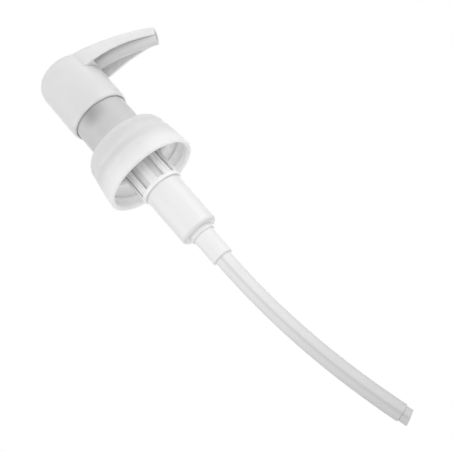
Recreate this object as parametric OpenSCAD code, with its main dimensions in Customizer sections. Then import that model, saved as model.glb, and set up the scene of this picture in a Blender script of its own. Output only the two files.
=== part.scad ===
// Condiment pump dispenser: screw-on pump top with a drooping spout and a bent dip tube.
// Millimetres. The origin is on the pump axis at the bottle neck's sealing face.
// +Z runs up to the head and +X runs along the spout.

/* [Head] */
// Outside radius of the head skirt
skirt_r = 13.85; // [13.6:0.05:14.2]
// Height of the crown above the head's base level
crown_h = 32.4; // [32.2:0.1:33.5]
// Outside radius of the curved discharge duct
duct_r = 3.4; // [3.2:0.1:3.5]

/* [Closure] */
// Largest outside radius of the closure bell
bell_r = 21; // [21:0.1:21.5]
// Depth of the closure below the sealing face
bell_drop = 12.7; // [12.7:0.1:14]

/* [Pump body] */
// Outside radius of the pump barrel
barrel_r = 8.6; // [8.6:0.05:8.7]
// Number of windows round the cage sleeve
rib_count = 8; // [6:1:10]

/* [Dip tube] */
// Outside radius of the dip tube
tube_r = 3.7; // [3.6:0.05:3.75]
// Radius of the dip tube's bend
bend_r = 330; // [280:5:400]
// Drop of the bend from the socket to the tip step
bend_drop = 89; // [60:1:110]

/* [View] */
// Which sub-part to draw

/* [Hidden] */
$fn = 96;
// head: heights below are measured up from this level, just under the skirt's edge
head_z = 22;
skirt_h = 1.85;
wall = 1.3;
shoulder_h = 23;
dome_power = 3.2;
arch_power = 2.8;
arch_steps = 16;
// discharge duct: a bend that starts level, then a straight end
duct_bore_r = 2.1;
duct_h = 25.1;
duct_start = 1;
duct_bend_r = 74;
duct_drop = 26;
duct_end = 9;
socket_low = 14.6;
socket_top = 29;
stem_top = 20;
// closure
bell_top = 8.9;
bell_fillet = 5.6;
bell_flare = 2;
bell_hole_r = 10.8;
thread_pitch = 4.23;
thread_crest_r = 17.85;
thread_root_r = 18.85;
thread_low = -10.6;
// housing, cage sleeve and barrel
flange_top = 7;
sleeve_r = 9.1;
sleeve_low = -20;
rib_turn = 20;
barrel_low = -45;
barrel_bore = 7.5;
stem_r = 5;
stem_bore = 3.3;
// foot and dip tube
foot_low = -59.4;
bend_z = -60;
tube_bore = 2.65;
bend_angle = asin(bend_drop / bend_r);
// the spout's cross-sections: bottom x, bottom height, top x, top height, half width
beak = [
    [0, 20.3, 0, crown_h - 0.3, 10.4],
    [6, 20.3, 6, crown_h - 0.5, 10.4],
    [10, 20.3, 10, crown_h - 1.2, 10.4],
    [14, 20.1, 14, crown_h - 2.5, 10.35],
    [18, 19.75, 18, crown_h - 4, 10.2],
    [22, 19.25, 22, crown_h - 5.55, 9.55],
    [26, 18.5, 26, crown_h - 7.05, 8.65],
    [30, 17.45, 30, crown_h - 8.65, 7.75],
    [33.9, 16.15, 34.2, crown_h - 10.45, 6.75],
    [37.5, 14.7, 38.7, crown_h - 12.65, 5.65],
    [41.1, 13, 43.4, crown_h - 15.7, 4.6]
];
beak_last = len(beak) - 1;
shoulder_share = 0.37;
bell_knee_r = bell_r - bell_flare - bell_fillet;
bell_knee_z = bell_top - bell_fillet;
bell_rim_z = 1 - bell_drop;

// a closed tube section turned about the axis
module ring(outer, inner, low, high) {
    translate([0, 0, low])
        difference() {
            cylinder(r = outer, h = high - low);
            translate([0, 0, -1]) cylinder(r = inner, h = high - low + 2);
        }
}

// signed power, for a squarish arch
function spow(v, p) = sign(v) * pow(abs(v), p);

// one cross-section of the spout: up one side, over the arch and down the other
function beak_loop(row) = concat(
    [[row[0], row[4], row[1]]],
    [for (i = [0:arch_steps])
        let (t = 180 * i / arch_steps,
            k = shoulder_share + (1 - shoulder_share) * spow(sin(t), 2 / arch_power))
        [row[0] + k * (row[2] - row[0]), row[4] * spow(cos(t), 2 / arch_power), row[1] + k * (row[3] - row[1])]],
    [[row[0], -row[4], row[1]]]);

// skin through a list of cross-sections with the same number of points
module loft(rows) {
    m = arch_steps + 3;
    last = len(rows) - 1;
    points = [for (row = rows) each beak_loop(row)];
    sides = [for (i = [0:last - 1], j = [0:m - 1])
        let (a = i * m + j, b = i * m + (j + 1) % m)
        each [[a, a + m, b], [b, a + m, b + m]]];
    start_cap = [[for (j = [0:m - 1]) j]];
    end_cap = [[for (j = [0:m - 1]) last * m + m - 1 - j]];
    polyhedron(points = points, faces = concat(sides, start_cap, end_cap), convexity = 6);
}

// outline of the domed head from the axis outwards
function dome(r, top) = [for (i = [0:12])
    let (t = 90 * i / 12)
    [r * spow(sin(t), 2 / dome_power), shoulder_h + (top - shoulder_h) * spow(cos(t), 2 / dome_power)]];

// hollow of the spout, ending short of the tip
function hollow_row(i) = [beak[i][0], beak[i][1] - 1, beak[i][2], beak[i][3] - wall, beak[i][4] - wall];
function mix(a, b, k) = a + k * (b - a);

// solid that follows the duct's centre line, from a start angle to a length past the bend
module duct_path(r, start, length) {
    translate([duct_start, 0, head_z + duct_h - duct_bend_r]) rotate([90, 0, 0]) {
        rotate([0, 0, 90 - duct_drop])
            rotate_extrude(angle = duct_drop - start, $fn = 240)
                translate([duct_bend_r, 0]) circle(r = r, $fn = 64);
        rotate([0, 0, 90 - duct_drop]) translate([duct_bend_r, 0.02, 0]) rotate([90, 0, 0])
            cylinder(r = r, h = length + 0.02, $fn = 64);
    }
}

// thin-walled head with an open-bottomed spout
module head_shell() color([0.93, 0.93, 0.92]) {
    difference() {
        translate([0, 0, head_z])
            union() {
                rotate_extrude()
                    polygon(concat(dome(skirt_r, crown_h),
                        [for (i = [0:4]) let (t = 90 * i / 4)
                            [skirt_r - 0.9 + 0.9 * cos(t), skirt_h + 2.15 - 2.15 * sin(t)]],
                        [[0, skirt_h]]));
                loft(beak);
            }
        translate([0, 0, head_z]) {
            rotate_extrude()
                polygon(concat(dome(skirt_r - wall, crown_h - wall - 0.1),
                    [[skirt_r - wall, 15], [skirt_r - 1.1, 14.5], [skirt_r - 1.1, 1], [0, 1]]));
            difference() {
                loft(concat([for (i = [3:beak_last - 1]) hollow_row(i)],
                    [mix(hollow_row(beak_last - 1), hollow_row(beak_last), 0.45)]));
                cylinder(r = skirt_r, h = 40);
            }
        }
        duct_path(duct_r, 1, 12);
    }
    ring(5.6, 4.2, head_z + socket_top, head_z + crown_h - wall);
}

// curved discharge duct, pushed in from the spout's tip
module nozzle_duct() color([0.88, 0.88, 0.87])
    difference() {
        duct_path(duct_r, 1.9, duct_end);
        duct_path(duct_bore_r, 1, duct_end + 5);
    }

// elbow between the stem and the duct, pressed up into the head
module stem_socket() color([0.9, 0.9, 0.89])
    difference() {
        translate([0, 0, head_z + socket_low])
            union() {
                cylinder(r = 6.2, h = socket_top - socket_low);
                cylinder(r = 4.2, h = socket_top - socket_low + 2);
            }
        translate([0, 0, head_z + socket_low - 1]) cylinder(r = stem_r, h = stem_top - socket_low + 1);
        translate([0, 0, head_z + socket_low]) cylinder(r = 3, h = duct_h + duct_bore_r - socket_low);
        duct_path(duct_r, 1.9, 1);
        translate([0, 0, head_z + duct_h]) rotate([0, 90, 0]) cylinder(r = duct_bore_r, h = 4);
    }

// hollow stem with the discharge ball's seat near its top
module stem() color([0.95, 0.95, 0.94])
    difference() {
        translate([0, 0, -2.2]) cylinder(r = stem_r, h = head_z + stem_top + 2.2);
        translate([0, 0, -3]) cylinder(r = stem_bore, h = 35);
        translate([0, 0, 31]) cylinder(r = 1.7, h = 4);
        translate([0, 0, 33.4]) cylinder(r1 = 1.7, r2 = 3.3, h = 1.6);
        translate([0, 0, 34.9]) cylinder(r = 3.3, h = 9);
    }

// bridge over the discharge ball
module discharge_cage() color([0.9, 0.9, 0.9]) {
    ring(3.3, 2.7, 36, 42);
    intersection() {
        translate([0, 0, 39.9]) cylinder(r = 3, h = 1.2);
        union() {
            translate([-3, -0.6, 39.9]) cube([6, 1.2, 1.2]);
            translate([-0.6, -3, 39.9]) cube([1.2, 6, 1.2]);
        }
    }
}

// upper check ball
module discharge_ball() color([0.72, 0.74, 0.76])
    translate([0, 0, 34.85]) sphere(r = 2.2);

// hollow rod that carries the piston and presses on the spring
module valve_rod() color([0.86, 0.86, 0.86])
    difference() {
        union() {
            translate([0, 0, -16]) cylinder(r = 2.9, h = 14);
            translate([0, 0, -2.2]) cylinder(r = stem_bore, h = 9);
            translate([0, 0, -17]) cylinder(r = 6, h = 1.5);
            translate([0, 0, -18.4]) cylinder(r = 3.4, h = 1.5);
        }
        translate([0, 0, -15]) cylinder(r = 1.7, h = 24);
        for (a = [0, 90]) rotate([0, 0, a]) translate([-4, 0, -14.2]) rotate([0, 90, 0]) cylinder(r = 0.8, h = 8);
    }

// double-lipped piston that slides in the barrel
module piston() color([0.8, 0.84, 0.88])
    rotate_extrude()
        polygon([[2.97, -15.2], [4.2, -15.2], [4.2, -9.8], [6, -9.8], [6, -12.6], [6.7, -15], [7.45, -15],
            [7.45, -14.2], [7, -12], [7, -5.6], [7.45, -3.4], [7.45, -2.6], [6.7, -2.6], [6, -5], [6, -8.2],
            [4.2, -8.2], [4.2, -2.8], [2.97, -2.8]]);

// helical return spring between the ball cage and the valve rod
module return_spring() color([0.7, 0.71, 0.72]) {
    turns = 6;
    steps = 16 * turns;
    sides = 6;
    wire = 0.45;
    coil = 4.4;
    low = -35.1;
    high = -17.5;
    points = [for (i = [0:steps], j = [0:sides - 1])
        let (a = 360 * turns * i / steps,
            s = i / steps,
            lead = (high - low) * (s < 0.12 ? s * 0.5 : s > 0.88 ? 0.94 + (s - 0.88) * 0.5
                : 0.06 + (s - 0.12) * 0.88 / 0.76),
            b = 360 * j / sides)
        [(coil + wire * cos(b)) * cos(a), (coil + wire * cos(b)) * sin(a), low + lead + wire * sin(b)]];
    faces = [for (i = [0:steps - 1], j = [0:sides - 1])
        let (p = i * sides + j, q = i * sides + (j + 1) % sides)
        each [[p, q, p + sides], [q, q + sides, p + sides]]];
    caps = [[for (j = [0:sides - 1]) sides - 1 - j], [for (j = [0:sides - 1]) steps * sides + j]];
    polyhedron(points = points, faces = concat(faces, caps), convexity = 12);
}

// collar above the closure: guides the stem and snaps over the housing's neck
module guide_collar() color([0.8, 0.81, 0.81]) {
    rotate_extrude()
        polygon([[10.4, 9.2], [12.3, 9.2], [12.4, 9.4], [12.4, 24.7], [11.8, 25.3], [5.35, 25.3], [5.35, 12.1],
            [8.2, 12.1], [8.2, 8.5], [9.3, 8.5], [9.3, 13.6], [6.8, 13.6], [6.8, 23.8], [11, 23.8], [11, 17.2],
            [10.4, 16.8]]);
}

// wiping seal on the stem
module stem_wiper() color([0.55, 0.57, 0.6])
    rotate_extrude()
        polygon([[5.04, 10.4], [5.5, 9.6], [8.2, 9.6], [8.2, 12.1], [5.5, 12.1], [5.04, 11.3]]);

// outside radius of the bell's flared wall
function bell_wall(z) = bell_r - bell_flare * pow((z - bell_rim_z) / (bell_knee_z - bell_rim_z), 1.28);

// one bead of the two-start thread inside the bell
module thread_bead() {
    sweep = 300;
    steps = 50;
    points = [for (i = [0:steps])
        let (a = sweep * i / steps,
            z = thread_low + thread_pitch * 2 * a / 360,
            fade = min(1, i / 3, (steps - i) / 3),
            crest = thread_root_r + 0.1 - fade * (thread_root_r - thread_crest_r))
        each [[(thread_root_r + 0.3) * cos(a), (thread_root_r + 0.3) * sin(a), z - 0.9],
            [crest * cos(a), crest * sin(a), z - 0.35],
            [crest * cos(a), crest * sin(a), z + 0.35],
            [(thread_root_r + 0.3) * cos(a), (thread_root_r + 0.3) * sin(a), z + 0.9]]];
    faces = [for (i = [0:steps - 1], j = [0:3])
        let (p = i * 4 + j, q = i * 4 + (j + 1) % 4)
        each [[p, p + 4, q], [q, p + 4, q + 4]]];
    polyhedron(points = points, faces = concat(faces, [[0, 1, 2, 3], [for (j = [3:-1:0]) steps * 4 + j]]),
        convexity = 8);
}

// thin flared closure that screws on the bottle
module closure_bell() color([0.82, 0.83, 0.83]) {
    rotate_extrude()
        polygon(concat(
            [[bell_hole_r, bell_top]],
            [for (i = [0:8]) let (t = 90 - 90 * i / 8)
                [bell_knee_r + bell_fillet * cos(t), bell_knee_z + bell_fillet * sin(t)]],
            [for (i = [1:8]) let (z = mix(bell_knee_z, bell_rim_z, i / 8)) [bell_wall(z), z]],
            [[bell_r, 0.6 - bell_drop], [bell_r - 0.4, -bell_drop], [bell_r - 1.1, -bell_drop],
                [thread_root_r, 1.1 - bell_drop], [thread_root_r, -1], [17.9, -0.4], [17.5, 2.2]],
            [for (i = [0:4]) let (t = 90 * i / 4)
                [bell_knee_r + (bell_fillet - 1.7) * cos(t), bell_knee_z + (bell_fillet - 1.7) * sin(t)]],
            [[bell_hole_r, bell_top - 1.7]]));
    for (a = [0, 180]) rotate([0, 0, a]) thread_bead();
}

// sealing ring that sits on the bottle's lip
module neck_gasket() color([0.75, 0.75, 0.72])
    ring(17, 13.2, 0, 1.4);

// spacer cup between the pump's flange and the gasket
module neck_adapter() color([0.9, 0.9, 0.88])
    rotate_extrude()
        polygon([[9.6, 4.1], [13.6, 4.1], [13.6, 2.8], [13.2, 2.4], [13.2, 1.4], [17, 1.4], [17, 2.6], [15.2, 3],
            [15.2, 4.9], [14.6, 5.5], [9.6, 5.5]]);

// flange, neck and ribbed cage sleeve around the barrel
module pump_housing() color([0.94, 0.94, 0.93]) {
    difference() {
        union() {
            translate([0, 0, 5.5]) cylinder(r = 13.4, h = flange_top - 5.5);
            translate([0, 0, 5.5]) cylinder(r = 10.4, h = 11.1);
            translate([0, 0, 1]) cylinder(r = 9.6, h = 7);
            translate([0, 0, sleeve_low]) cylinder(r = sleeve_r, h = 22);
            translate([0, 0, sleeve_low]) cylinder(r = 9.4, h = 1.6);
            for (i = [0:rib_count - 1])
                rotate([0, 0, rib_turn + 360 * (i + 0.5) / rib_count])
                    for (y = [-1.5, 0.7]) translate([8.7, y, sleeve_low + 0.8]) cube([0.8, 0.8, 21]);
        }
        translate([0, 0, sleeve_low - 1]) cylinder(r = barrel_r, h = 40);
        translate([0, 0, 6]) cylinder(r = 9.3, h = 20);
        for (i = [0:rib_count - 1])
            rotate([0, 0, rib_turn + 360 * i / rib_count])
                translate([8, -1.6, sleeve_low + 1.75]) cube([3, 3.2, 15.8]);
    }
}

// pump cylinder
module barrel() color([0.97, 0.97, 0.96])
    rotate_extrude()
        polygon(concat(
            [[4.4, barrel_low], [barrel_r - 1.6, barrel_low]],
            [for (i = [0:6]) let (t = -90 + 90 * i / 6)
                [barrel_r - 1.6 + 1.6 * cos(t), barrel_low + 1.6 + 1.6 * sin(t)]],
            [[barrel_r, sleeve_low - 0.7], [barrel_r - 0.45, sleeve_low - 0.7], [barrel_r - 0.45, sleeve_low],
                [barrel_r, sleeve_low], [barrel_r, sleeve_low + 1.8], [barrel_r - 0.5, sleeve_low + 2.2],
                [barrel_r - 0.5, -2.8], [barrel_r, -2.4], [barrel_r, 6], [9.3, 6], [9.3, 7.2], [barrel_bore, 7.2],
                [barrel_bore, barrel_low + 2.4], [barrel_bore - 0.8, barrel_low + 1.6], [4.4, barrel_low + 1.6]]));

// seal between the barrel's flange and the collar
module barrel_seal() color([0.6, 0.62, 0.64])
    ring(9.3, 8, 7.2, 8.5);

// foot: ball seat inside the barrel and the socket that holds the dip tube
module foot_valve_body() color([0.93, 0.93, 0.92])
    rotate_extrude()
        polygon([[1.9, -47], [1.9, -42.6], [3, -41.5], [3, -39.4], [4.4, -39.4], [4.4, -42.4], [5.6, -42.9],
            [5.6, -43.4], [4.4, -43.4], [4.4, barrel_low], [5.6, barrel_low], [5.6, -46.7], [5.3, -47], [4.75, -47.1],
            [4.75, foot_low + 0.3], [4.45, foot_low], [tube_r, foot_low], [tube_r, -49.5], [2.6, -49.5],
            [2.6, -47.6]]);

// foot check ball
module foot_ball() color([0.72, 0.74, 0.76])
    translate([0, 0, -40.98]) sphere(r = 2.4);

// slotted cap over the foot ball and seat for the spring
module ball_cage() color([0.88, 0.88, 0.88])
    difference() {
        union() {
            translate([0, 0, -42]) cylinder(r = 5.6, h = 6.4);
            translate([0, 0, -38]) cylinder(r = 6.6, h = 1.2);
        }
        translate([0, 0, -43]) cylinder(r = 4.4, h = 3.6);
        translate([0, 0, -39.5]) cylinder(r = 3.2, h = 2.8);
        translate([0, 0, -37]) cylinder(r = 1.4, h = 3);
        for (a = [0, 90]) rotate([0, 0, a]) translate([-5, -0.7, -37]) cube([10, 1.4, 3]);
    }

// pre-bent dip tube with a stepped tip
module dip_tube() color([0.86, 0.86, 0.83]) {
    ring(tube_r, tube_bore, bend_z, -49.6);
    translate([bend_r, 0, bend_z]) rotate([90, 0, 0]) rotate([0, 0, 180])
        rotate_extrude(angle = bend_angle, $fn = 360)
            translate([bend_r, 0])
                difference() {
                    circle(r = tube_r, $fn = 96);
                    circle(r = tube_bore, $fn = 96);
                }
    translate([bend_r * (1 - cos(bend_angle)), 0, bend_z - bend_drop]) rotate([0, -bend_angle, 0])
        difference() {
            translate([0, 0, -3.8]) cylinder(r = tube_r - 0.5, h = 4.8);
            translate([0, 0, -5]) cylinder(r = 2.3, h = 7);
            translate([-6, -6, -9]) rotate([0, -8, 0]) cube([16, 12, 5]);
        }
}

head_shell();
nozzle_duct();
stem_socket();
stem();
discharge_cage();
discharge_ball();
valve_rod();
piston();
return_spring();
guide_collar();
stem_wiper();
closure_bell();
neck_gasket();
neck_adapter();
pump_housing();
barrel();
barrel_seal();
foot_valve_body();
foot_ball();
ball_cage();
dip_tube();
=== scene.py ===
import math

import bmesh
import bpy
from mathutils import Matrix, Vector


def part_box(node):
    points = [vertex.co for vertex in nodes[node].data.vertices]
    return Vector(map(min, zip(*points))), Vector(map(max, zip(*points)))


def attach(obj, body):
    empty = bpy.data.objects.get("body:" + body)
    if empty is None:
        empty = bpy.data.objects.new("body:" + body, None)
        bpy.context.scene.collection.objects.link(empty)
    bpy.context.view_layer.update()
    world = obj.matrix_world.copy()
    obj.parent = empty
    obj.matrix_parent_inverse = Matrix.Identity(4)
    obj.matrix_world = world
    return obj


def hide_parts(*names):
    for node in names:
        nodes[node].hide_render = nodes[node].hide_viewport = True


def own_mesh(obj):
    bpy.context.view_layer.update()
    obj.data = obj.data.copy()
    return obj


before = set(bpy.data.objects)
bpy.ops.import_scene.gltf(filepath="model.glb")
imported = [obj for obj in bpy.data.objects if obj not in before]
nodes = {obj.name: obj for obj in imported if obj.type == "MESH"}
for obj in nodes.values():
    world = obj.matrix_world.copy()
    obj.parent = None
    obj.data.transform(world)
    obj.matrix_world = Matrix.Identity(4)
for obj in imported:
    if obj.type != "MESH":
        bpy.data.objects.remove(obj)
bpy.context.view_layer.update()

MM = 0.001

# Camera: looks along +Y and up at the pump from below, rolled so that the tube runs down to the right
CAM_TILT = math.radians(16.1)
CAM_ROLL = math.radians(41.54)
CAM_LENS = 58.54
CAM_AIM = Vector((0.009352, 0, -0.050239))
CAM_DISTANCE = 0.299532

# Dip tube: the same bend as its node. Its foot steps down by a shallow shoulder to a narrower slanted tip
TUBE_OUTER = 3.7 * MM
TUBE_INNER = 2.65 * MM
TIP_OUTER = 3.2 * MM
TIP_INNER = 2.3 * MM
TIP_LENGTH = 3.4 * MM
TIP_SLANT = math.tan(math.radians(8))
SHOULDER_LENGTH = 0.15 * MM
SHOULDER_CUT = 0.12 * MM
BEND_TOP = -60.0 * MM
BEND_LOW = -149.0 * MM
BEND_RADIUS = 330.0 * MM
BEND_STEPS = 90

# Spring: the same wire and turns as its node, and the share of its wire in close turns at each end
WIRE = 0.45 * MM
TURNS = 6
CLOSE = 0.12

# Edges with a sharper angle than this between their faces stay sharp
SHARP = math.radians(35)


def multiply(tree, first, second):
    """One colour times another."""
    mix = tree.nodes.new("ShaderNodeMix")
    mix.data_type = "RGBA"
    mix.blend_type = "MULTIPLY"
    mix.inputs["Factor"].default_value = 1.0
    tree.links.new(first, mix.inputs["A"])
    tree.links.new(second, mix.inputs["B"])
    return mix.outputs["Result"]


def remap(tree, value, to_min, to_max, from_min=0.0, from_max=1.0):
    """A value carried from one range to another."""
    spread = tree.nodes.new("ShaderNodeMapRange")
    spread.inputs["From Min"].default_value = from_min
    spread.inputs["From Max"].default_value = from_max
    spread.inputs["To Min"].default_value = to_min
    spread.inputs["To Max"].default_value = to_max
    tree.links.new(value, spread.inputs["Value"])
    return spread.outputs["Result"]


def grey_ramp(tree, value, stops):
    """Greys between stops of place and level."""
    ramp = tree.nodes.new("ShaderNodeValToRGB")
    while len(ramp.color_ramp.elements) < len(stops):
        ramp.color_ramp.elements.new(0.5)
    for element, (where, level) in zip(ramp.color_ramp.elements, stops):
        element.position = where
        element.color = (level, level, level, 1)
    tree.links.new(value, ramp.inputs["Fac"])
    return ramp.outputs["Color"]


def noise(tree, coord, scale, detail):
    """Noise in the object's own space."""
    cloud = tree.nodes.new("ShaderNodeTexNoise")
    cloud.inputs["Scale"].default_value = scale
    cloud.inputs["Detail"].default_value = detail
    tree.links.new(coord.outputs["Object"], cloud.inputs["Vector"])
    return cloud.outputs["Fac"]


def material(name, color, rough=0.4, vary=0.03, cloud=90.0, grain=900.0, bump=0.03, **sockets):
    """Plastic, metal or rubber with cloudy colour, uneven roughness and fine surface grain."""
    mat = bpy.data.materials.new(name)
    mat.use_nodes = True
    tree = mat.node_tree
    shader = tree.nodes["Principled BSDF"]
    coord = tree.nodes.new("ShaderNodeTexCoord")
    patches = noise(tree, coord, cloud, 4.0)
    tint = tree.nodes.new("ShaderNodeMix")
    tint.data_type = "RGBA"
    tint.inputs["A"].default_value = (*[c * (1 - vary) for c in color], 1)
    tint.inputs["B"].default_value = (*[min(1.0, c * (1 + vary)) for c in color], 1)
    tree.links.new(patches, tint.inputs["Factor"])
    tree.links.new(tint.outputs["Result"], shader.inputs["Base Color"])
    uneven = 0.06
    roughness = remap(tree, patches, max(0.02, rough - uneven), rough + uneven)
    tree.links.new(roughness, shader.inputs["Roughness"])
    bumper = tree.nodes.new("ShaderNodeBump")
    bumper.inputs["Strength"].default_value = bump
    bumper.inputs["Distance"].default_value = 0.2 * MM
    tree.links.new(noise(tree, coord, grain, 3.0), bumper.inputs["Height"])
    tree.links.new(bumper.outputs["Normal"], shader.inputs["Normal"])
    for key, value in sockets.items():
        shader.inputs[key.replace("_", " ")].default_value = value
    return mat


def shade(mat, level):
    """Multiply a material's colour by a level."""
    tree = mat.node_tree
    base = tree.nodes["Principled BSDF"].inputs["Base Color"]
    tree.links.new(multiply(tree, base.links[0].from_socket, level), base)


def milky(depth):
    """Sockets of a plastic that light enters to a depth."""
    return dict(Subsurface_Weight=1.0, Subsurface_Radius=(1.0, 1.0, 1.0), Subsurface_Scale=depth)


def grey(level):
    """A neutral colour."""
    return (level, level, level)


head_white = material("head_white", grey(0.80), rough=0.36, vary=0.05, cloud=50.0, **milky(2.2 * MM))
# The duct is the head's plastic in a darker grey: painted shade deep inside the hood
duct_shaded_white = material("duct_shaded_white", grey(0.76), rough=0.55)
engine_white = material("engine_white", grey(0.86), rough=0.40, bump=0.015, Specular_IOR_Level=0.25)
barrel_white = material("barrel_white", grey(0.85), rough=0.34, Specular_IOR_Level=0.3)
sleeve_white = material("sleeve_white", grey(0.97), rough=0.40, vary=0.015)
frosted = material("frosted", grey(0.97), rough=0.48, vary=0.05, cloud=60.0, **milky(7.0 * MM))
collar_frosted = material("collar_frosted", grey(0.62), rough=0.42, vary=0.07, cloud=75.0, **milky(2.0 * MM))
tube_natural = material("tube_natural", grey(0.87), rough=0.40, bump=0.008, Specular_IOR_Level=0.15)
seal_grey = material("seal_grey", (0.35, 0.36, 0.38), rough=0.6)
gasket_foam = material("gasket_foam", (0.78, 0.78, 0.75), rough=0.8, grain=2200.0, bump=0.25)
ball_steel = material("ball_steel", (0.62, 0.63, 0.65), rough=0.12, Metallic=1.0)
spring_steel = material("spring_steel", (0.58, 0.59, 0.60), rough=0.26, grain=3000.0, bump=0.1, Metallic=1.0)

LOOKS = {
    head_white: ["head_shell"],
    duct_shaded_white: ["nozzle_duct"],
    engine_white: ["stem_socket", "stem", "discharge_cage", "valve_rod", "piston", "neck_adapter",
                   "foot_valve_body", "ball_cage"],
    barrel_white: ["barrel"],
    sleeve_white: ["pump_housing"],
    frosted: ["closure_bell"],
    collar_frosted: ["guide_collar"],
    seal_grey: ["stem_wiper", "barrel_seal"],
    gasket_foam: ["neck_gasket"],
    ball_steel: ["discharge_ball", "foot_ball"],
}


def tube_die_lines_and_painted_shade():
    """Die lines along the tube, the darkest one painted shade of the bore seen through the wall, and painted
    shade darker towards its foot: both follow the mesh's own UV map.
    """
    # The darkest line, at 0.74, is painted shade of the bore seen through the wall; the others are die lines
    die_lines_and_bore_shade = [(0.0, 0.93), (0.2, 1.0), (0.23, 0.95), (0.27, 0.99), (0.5, 0.92), (0.56, 0.95), (0.66, 0.98),
             (0.70, 0.95), (0.74, 0.82), (0.77, 0.97), (0.79, 1.0), (0.87, 0.98), (0.96, 0.95), (1.0, 0.93)]
    tree = tube_natural.node_tree
    uv = tree.nodes.new("ShaderNodeUVMap")
    uv.uv_map = "around"
    split = tree.nodes.new("ShaderNodeSeparateXYZ")
    tree.links.new(uv.outputs["UV"], split.inputs["Vector"])
    shade(tube_natural, grey_ramp(tree, split.outputs["X"], die_lines_and_bore_shade))
    # Painted shade: the tube darkens towards its foot
    shade(tube_natural, remap(tree, split.outputs["Y"], 1.0, 0.73))


def collar_painted_shade():
    """Painted shade on the frosted collar: a soft darker patch just below the skirt, standing for the
    skirt's shadow and for the spring and stem seen through.
    """
    tree = collar_frosted.node_tree
    place = tree.nodes.new("ShaderNodeTexCoord")
    shift = tree.nodes.new("ShaderNodeMapping")
    shift.vector_type = "TEXTURE"
    shift.inputs["Location"].default_value = (-1.8 * MM, -12.0 * MM, 21.5 * MM)
    shift.inputs["Scale"].default_value = (8.0 * MM, 9.0 * MM, 6.5 * MM)
    tree.links.new(place.outputs["Object"], shift.inputs["Vector"])
    shade_spot = tree.nodes.new("ShaderNodeTexGradient")
    shade_spot.gradient_type = "SPHERICAL"
    tree.links.new(shift.outputs["Vector"], shade_spot.inputs["Vector"])
    # Painted shade: the patch darkens the collar's colour to 0.68 at its centre
    level = remap(tree, shade_spot.outputs["Fac"], 1.0, 0.68)
    level.node.interpolation_type = "SMOOTHSTEP"
    shade(collar_frosted, level)


def add_piece(name, verts, faces, look):
    """A closed mesh with its faces turned out, shaded smooth except at sharp edges."""
    mesh = bpy.data.meshes.new(name)
    mesh.from_pydata(verts, [], faces)
    mesh.materials.append(look)
    work = bmesh.new()
    work.from_mesh(mesh)
    bmesh.ops.recalc_face_normals(work, faces=work.faces)
    for edge in work.edges:
        edge.smooth = edge.calc_face_angle(0.0) < SHARP
    for face in work.faces:
        face.smooth = True
    work.to_mesh(mesh)
    work.free()
    piece = bpy.data.objects.new(name, mesh)
    bpy.context.collection.objects.link(piece)
    return piece


def lead(s):
    """Share of the spring's height reached at a share of its wire: close turns rise at half the rate."""
    if s < CLOSE:
        return s / 2
    if s > 1 - CLOSE:
        return 1 - (1 - s) / 2
    return CLOSE / 2 + (s - CLOSE) * (1 - CLOSE) / (1 - 2 * CLOSE)


def spring():
    """Round wire wound with closer turns at both ends, squashed by the pump's 10 mm stroke."""
    low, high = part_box("return_spring")
    coil = high[0] - WIRE
    base, top = low[2] + WIRE, high[2] - WIRE
    steps, sides = 40, 12
    verts, faces = [], []
    for i in range(TURNS * steps + 1):
        rise = base + (top - base) * lead(i / (TURNS * steps))
        a = math.tau * i / steps
        for j in range(sides):
            b = math.tau * j / sides
            r = coil + WIRE * math.cos(b)
            verts.append((r * math.cos(a), r * math.sin(a), rise + WIRE * math.sin(b)))
    for i in range(TURNS * steps):
        for j in range(sides):
            k = (j + 1) % sides
            faces.append((i * sides + j, (i + 1) * sides + j, (i + 1) * sides + k, i * sides + k))
    faces.append(tuple(range(sides)))
    faces.append(tuple(TURNS * steps * sides + j for j in reversed(range(sides))))
    piece = add_piece("spring_coil", verts, faces, spring_steel)
    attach(piece, "core")
    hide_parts("return_spring")
    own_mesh(piece)


def station(a):
    """Centre and across-tube direction at an angle of the tube's bend."""
    centre = Vector((BEND_RADIUS * (1 - math.cos(a)), 0, BEND_TOP - BEND_RADIUS * math.sin(a)))
    return centre, Vector((math.cos(a), 0, math.sin(a)))


def tube_rings(start):
    """Centre, across direction, radius and slant of each ring: down the outside and up the bore."""
    across = Vector((1, 0, 0))
    top, bend = Vector((0, 0, start)), Vector((0, 0, BEND_TOP))
    angle = math.asin((BEND_TOP - BEND_LOW) / BEND_RADIUS)
    bends = [station(angle * i / BEND_STEPS) for i in range(1, BEND_STEPS + 1)]
    end, end_across = bends[-1]
    along = Vector((math.sin(angle), 0, -math.cos(angle)))
    step, foot = end + along * SHOULDER_LENGTH, end + along * TIP_LENGTH
    rings = [(top, across, TUBE_OUTER, 0), (bend, across, TUBE_OUTER, 0)]
    rings += [(*place, TUBE_OUTER, 0) for place in bends]
    rings += [(step, end_across, TUBE_OUTER - SHOULDER_CUT, 0), (step, end_across, TIP_OUTER, 0),
              (foot, end_across, TIP_OUTER, TIP_SLANT), (foot, end_across, TIP_INNER, TIP_SLANT),
              (end, end_across, TIP_INNER, 0), (end, end_across, TUBE_INNER, 0)]
    rings += [(*place, TUBE_INNER, 0) for place in reversed(bends[:-1])]
    rings += [(bend, across, TUBE_INNER, 0), (top, across, TUBE_INNER, 0)]
    return rings


def map_around(mesh, sides, drops):
    """UV map "around": U runs round the tube and V is how far down it each ring lies."""
    layer = mesh.uv_layers.new(name="around")
    for face in mesh.polygons:
        last = face.index % sides == sides - 1
        for loop in face.loop_indices:
            ring, side = divmod(mesh.loops[loop].vertex_index, sides)
            layer.data[loop].uv = ((sides if last and side == 0 else side) / sides, drops[ring])


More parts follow.
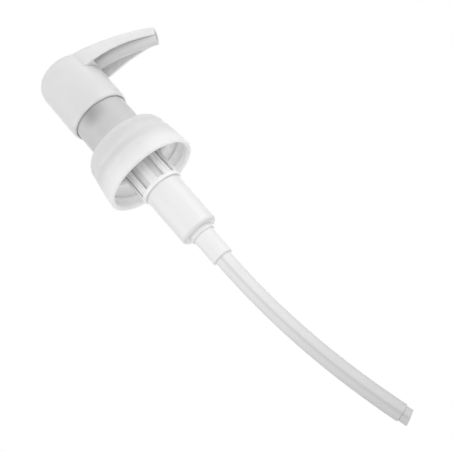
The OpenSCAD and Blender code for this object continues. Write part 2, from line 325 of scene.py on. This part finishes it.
def dip_tube():
    """Smooth pre-bent tube: straight in its socket, one even bend, then a narrower slanted tip."""
    low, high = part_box("dip_tube")
    start, length = high[2], high[2] - low[2]
    rings = tube_rings(start)
    sides, count = 96, len(rings)
    verts, faces = [], []
    for centre, across, r, slant in rings:
        run = Vector((across[2], 0, -across[0]))
        for j in range(sides):
            b = math.tau * j / sides
            reach = r * math.cos(b)
            verts.append(centre + across * reach + Vector((0, r * math.sin(b), 0)) - run * slant * reach)
    for i in range(count):
        n = (i + 1) % count
        for j in range(sides):
            k = (j + 1) % sides
            faces.append((i * sides + j, i * sides + k, n * sides + k, n * sides + j))
    piece = add_piece("tube_long", verts, faces, tube_natural)
    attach(piece, "core")
    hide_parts("dip_tube")
    map_around(piece.data, sides, [min(1.0, max(0.0, (start - ring[0][2]) / length)) for ring in rings])


def soft_light(name, place, aim, size, watts):
    """A square area light that looks at a point."""
    data = bpy.data.lights.new(name, "AREA")
    data.size = size
    data.energy = watts
    light = bpy.data.objects.new(name, data)
    light.location = place
    light.rotation_euler = (Vector(aim) - Vector(place)).to_track_quat("-Z", "Y").to_euler()
    bpy.context.collection.objects.link(light)


def studio(forward):
    """White backdrop beyond the pump, a softer grey room elsewhere and a darker one below."""
    world = bpy.data.worlds.new("studio")
    world.use_nodes = True
    tree = world.node_tree
    place = tree.nodes.new("ShaderNodeTexCoord")
    dot = tree.nodes.new("ShaderNodeVectorMath")
    dot.operation = "DOT_PRODUCT"
    dot.inputs[1].default_value = forward
    tree.links.new(place.outputs["Generated"], dot.inputs[0])
    facing = remap(tree, dot.outputs["Value"], 0.0, 1.0, from_min=-1.0)
    room = grey_ramp(tree, facing, [(0.0, 0.84), (0.45, 0.64), (0.84, 0.54), (0.92, 1.0)])
    split = tree.nodes.new("ShaderNodeSeparateXYZ")
    tree.links.new(place.outputs["Generated"], split.inputs["Vector"])
    below = remap(tree, split.outputs["Z"], 0.3, 1.0, from_min=-0.9, from_max=-0.15)
    tree.links.new(multiply(tree, room, below), tree.nodes["Background"].inputs["Color"])
    bpy.context.scene.world = world
    bpy.context.scene.view_settings.view_transform = "Standard"
    soft_light("key", (-0.34, -0.15, 0.06), (0, 0, 0), 0.30, 0.40)
    soft_light("fill", (0.38, -0.14, 0.08), (0.01, 0, 0), 0.30, 0.60)
    soft_light("front", (0.03, -0.28, -0.06), (0, 0, 0), 0.15, 0.10)
    soft_light("back", (0, 0.30, -0.02), (0, 0, 0), 0.30, 0.28)


def paper_floor():
    """Round sheet of pale paper well below the tube."""
    radius, height, sides = 0.35, -0.30, 64
    turns = [math.tau * i / sides for i in range(sides)]
    mesh = bpy.data.meshes.new("floor")
    mesh.from_pydata([(radius * math.cos(a), radius * math.sin(a), height) for a in turns], [],
                     [tuple(range(sides))])
    mesh.materials.append(material("floor_paper", grey(0.80), rough=0.7, vary=0.01))
    ground = bpy.data.objects.new("floor", mesh)
    bpy.context.collection.objects.link(ground)


def camera(forward):
    """Camera behind its aim point, turned about its own line of sight."""
    side = Vector((1, 0, 0))
    up = side.cross(forward)
    right = side * math.cos(CAM_ROLL) - up * math.sin(CAM_ROLL)
    top = side * math.sin(CAM_ROLL) + up * math.cos(CAM_ROLL)
    data = bpy.data.cameras.new("camera")
    data.lens = CAM_LENS
    data.sensor_width = 36
    eye = bpy.data.objects.new("camera", data)
    bpy.context.collection.objects.link(eye)
    axes = Matrix((right, top, -forward)).transposed()
    eye.matrix_world = Matrix.Translation(CAM_AIM - forward * CAM_DISTANCE) @ axes.to_4x4()
    bpy.context.scene.camera = eye


for look, names in LOOKS.items():
    for name in names:
        for holder in nodes[name].material_slots:
            holder.material = look
tube_die_lines_and_painted_shade()
collar_painted_shade()
spring()
dip_tube()

sight = Vector((0, math.cos(CAM_TILT), math.sin(CAM_TILT)))
studio(sight)
paper_floor()
camera(sight)
